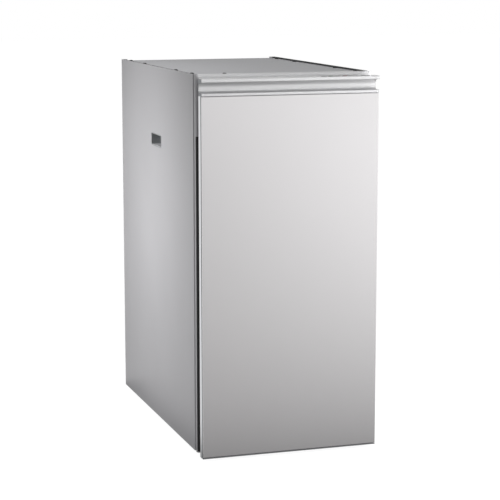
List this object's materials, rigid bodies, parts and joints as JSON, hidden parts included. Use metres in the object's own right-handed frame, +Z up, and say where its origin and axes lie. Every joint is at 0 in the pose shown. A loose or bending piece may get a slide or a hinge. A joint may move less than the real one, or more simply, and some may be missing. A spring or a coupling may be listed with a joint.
{
  "type": "trash compactor",
  "caption": "Upright household trash compactor: sheet-metal cabinet, full-height drawer front with an extruded handle, pull-out bin and a ram driven down by power screws.",
  "frame": {"origin": "centre of the overall footprint, on the floor", "axes": "+X to the right seen from the front, +Y to the back, +Z up"},
  "size_m": [0.378, 0.667, 0.7916],
  "materials": {
    "cabinet_paint": "satin grey paint",
    "top_sheet": "coated sheet, satin",
    "door_face": "satin, fine vertical grain",
    "bright_aluminium": "satin anodised",
    "inner_sheet": "zinc coated",
    "frame_steel": "dark grey paint",
    "runner_steel": "zinc plated",
    "screw_steel": "rolled and oiled",
    "ram_steel": "powder coat",
    "nut_bronze": "machined",
    "black_screw": "black oxide",
    "black_rubber": "matte",
    "black_plastic": "fine grain",
    "grey_plastic": "fine grain",
    "bin_plastic": "fine grain",
    "nylon": "smooth",
    "motor_paint": "black enamel",
    "cast_alloy": "as cast",
    "start_green": "smooth",
    "stop_red": "smooth"
  },
  "bodies": {
    "cabinet": {"left_side_panel": "cabinet_paint", "right_side_panel": "cabinet_paint", "left_stile": "cabinet_paint", "right_stile": "cabinet_paint", "header": "door_face", "bottom_rail": "cabinet_paint", "top_panel": "top_sheet", "top_rails": "inner_sheet", "top_screws": "black_screw", "top_gaskets": "black_rubber", "grip_cups": "grey_plastic", "back_panel": "inner_sheet", "cord_gland": "black_plastic", "base_frame": "inner_sheet", "feet": "black_rubber", "drive_deck": "inner_sheet", "upper_crossbar": "frame_steel", "upper_bushes": "nut_bronze", "lower_bearings": "runner_steel", "ram_guides": "frame_steel", "drive_belt": "black_rubber", "gear_housing": "cast_alloy", "motor_shell": "motor_paint", "motor_bell": "cast_alloy", "motor_capacitor": "cast_alloy", "control_box": "black_plastic", "slide_brackets": "inner_sheet", "left_cabinet_runner": "runner_steel", "right_cabinet_runner": "runner_steel", "catch_magnet": "black_plastic"},
    "drawer": {"face_panel": "door_face", "door_pan": "inner_sheet", "left_edge_trim": "bright_aluminium", "right_edge_trim": "bright_aluminium", "bottom_trim": "black_plastic", "door_seal": "black_rubber", "handle_rail": "bright_aluminium", "control_strip": "black_plastic", "catch_strike": "runner_steel", "left_drawer_runner": "runner_steel", "right_drawer_runner": "runner_steel", "left_drawer_side": "inner_sheet", "right_drawer_side": "inner_sheet", "drawer_floor": "inner_sheet", "bin": "bin_plastic"},
    "left_middle": {"left_middle_runner": "runner_steel"},
    "right_middle": {"right_middle_runner": "runner_steel"},
    "ram": {"ram_platen": "ram_steel", "ram_column": "ram_steel", "ram_crossbeam": "ram_steel", "power_nuts": "nut_bronze", "guide_shoes": "nylon"},
    "left_screw": {"left_power_screw": "screw_steel", "left_screw_pulley": "cast_alloy"},
    "right_screw": {"right_power_screw": "screw_steel", "right_screw_pulley": "cast_alloy"},
    "drive": {"drive_pulley": "cast_alloy"},
    "start": {"start_button": "start_green"},
    "stop": {"stop_button": "stop_red"},
    "lock": {"lock_dial": "bright_aluminium"}
  },
  "joints": [
    {"name": "drawer_slide", "type": "slide", "parent": "cabinet", "child": "drawer", "axis": [0, -1, 0], "range_m": [0, 0.43]},
    {"name": "left_runner_slide", "type": "slide", "parent": "cabinet", "child": "left_middle", "axis": [0, -1, 0], "range_m": [0, 0.215]},
    {"name": "right_runner_slide", "type": "slide", "parent": "cabinet", "child": "right_middle", "axis": [0, -1, 0], "range_m": [0, 0.215]},
    {"name": "ram_slide", "type": "slide", "parent": "cabinet", "child": "ram", "axis": [0, 0, -1], "range_m": [0, 0.235]},
    {"name": "left_screw_turn", "type": "hinge", "parent": "cabinet", "child": "left_screw", "pos_m": [-0.154, -0.093, 0.4], "axis": [0, 0, 1], "range_deg": [0, 16920]},
    {"name": "right_screw_turn", "type": "hinge", "parent": "cabinet", "child": "right_screw", "pos_m": [0.154, -0.093, 0.4], "axis": [0, 0, 1], "range_deg": [0, 16920]},
    {"name": "drive_pulley_turn", "type": "hinge", "parent": "cabinet", "child": "drive", "pos_m": [0, 0.22314, 0.03], "axis": [0, 0, 1], "range_deg": [0, 21150], "deforming": ["drive_belt"]},
    {"name": "start_press", "type": "slide", "parent": "drawer", "child": "start", "axis": [0, 0, -1], "range_m": [0, 0.0012], "stiffness_N_per_m": 400},
    {"name": "stop_press", "type": "slide", "parent": "drawer", "child": "stop", "axis": [0, 0, -1], "range_m": [0, 0.0012], "stiffness_N_per_m": 400},
    {"name": "lock_turn", "type": "hinge", "parent": "drawer", "child": "lock", "pos_m": [0.148, -0.322, 0.783], "axis": [0, 0, 1], "range_deg": [0, 90]}
  ],
  "couplings": [
    {"joint": "left_runner_slide", "follows": "drawer_slide", "ratio": 0.5},
    {"joint": "right_runner_slide", "follows": "drawer_slide", "ratio": 0.5},
    {"joint": "left_screw_turn", "follows": "ram_slide", "rad_per_m": 1256.6},
    {"joint": "right_screw_turn", "follows": "ram_slide", "rad_per_m": 1256.6},
    {"joint": "drive_pulley_turn", "follows": "ram_slide", "rad_per_m": 1570.8}
  ]
}
